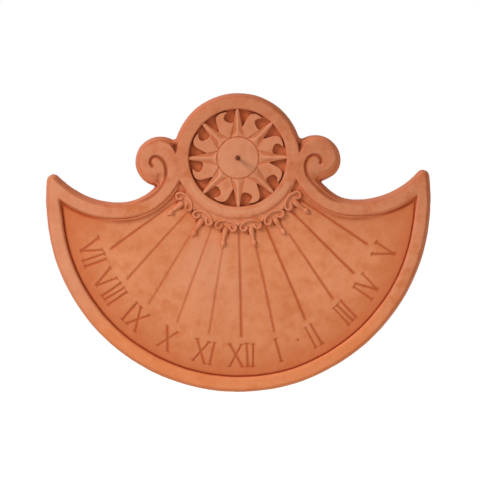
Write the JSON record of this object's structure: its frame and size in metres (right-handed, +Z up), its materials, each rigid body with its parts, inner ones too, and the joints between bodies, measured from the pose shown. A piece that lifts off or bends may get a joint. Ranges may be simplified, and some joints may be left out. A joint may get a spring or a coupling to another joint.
{
  "type": "sundial",
  "caption": "Fan-shaped terracotta wall sundial with a raised sun medallion, scrolled shoulders, shell and drop ornament, engraved hour lines and a push-fit gnomon pin.",
  "frame": {"origin": "point on the wall behind the gnomon hole, in the middle of the sun; the plaque's flat back lies in the plane y = 0", "axes": "+Y into the wall (the dial faces -Y), +Z up, +X to the right of a person looking at the dial"},
  "size_m": [0.5, 0.069, 0.3891],
  "materials": {
    "terracotta": "matte, unglazed fired clay",
    "pin_iron": "dark, lightly rusted"
  },
  "bodies": {
    "plaque": {"back_slab": "terracotta", "dial_panel": "terracotta", "lower_rim": "terracotta", "left_scroll": "terracotta", "right_scroll": "terracotta", "medallion_ring": "terracotta", "sun_disc": "terracotta", "straight_ray_1": "terracotta", "straight_ray_2": "terracotta", "straight_ray_3": "terracotta", "straight_ray_4": "terracotta", "straight_ray_5": "terracotta", "straight_ray_6": "terracotta", "straight_ray_7": "terracotta", "straight_ray_8": "terracotta", "flame_ray_1": "terracotta", "flame_ray_2": "terracotta", "flame_ray_3": "terracotta", "flame_ray_4": "terracotta", "flame_ray_5": "terracotta", "flame_ray_6": "terracotta", "flame_ray_7": "terracotta", "flame_ray_8": "terracotta", "shell_1": "terracotta", "shell_2": "terracotta", "shell_3": "terracotta", "shell_4": "terracotta", "shell_5": "terracotta", "shell_6": "terracotta", "drop_1": "terracotta", "drop_2": "terracotta", "drop_3": "terracotta", "drop_4": "terracotta", "drop_5": "terracotta", "drop_6": "terracotta"},
    "gnomon": {"gnomon_pin": "pin_iron"}
  },
  "joints": [
    {"name": "gnomon_slide", "type": "slide", "parent": "plaque", "child": "gnomon", "axis": [0, -1, 0], "range_m": [0, 0.022]}
  ]
}
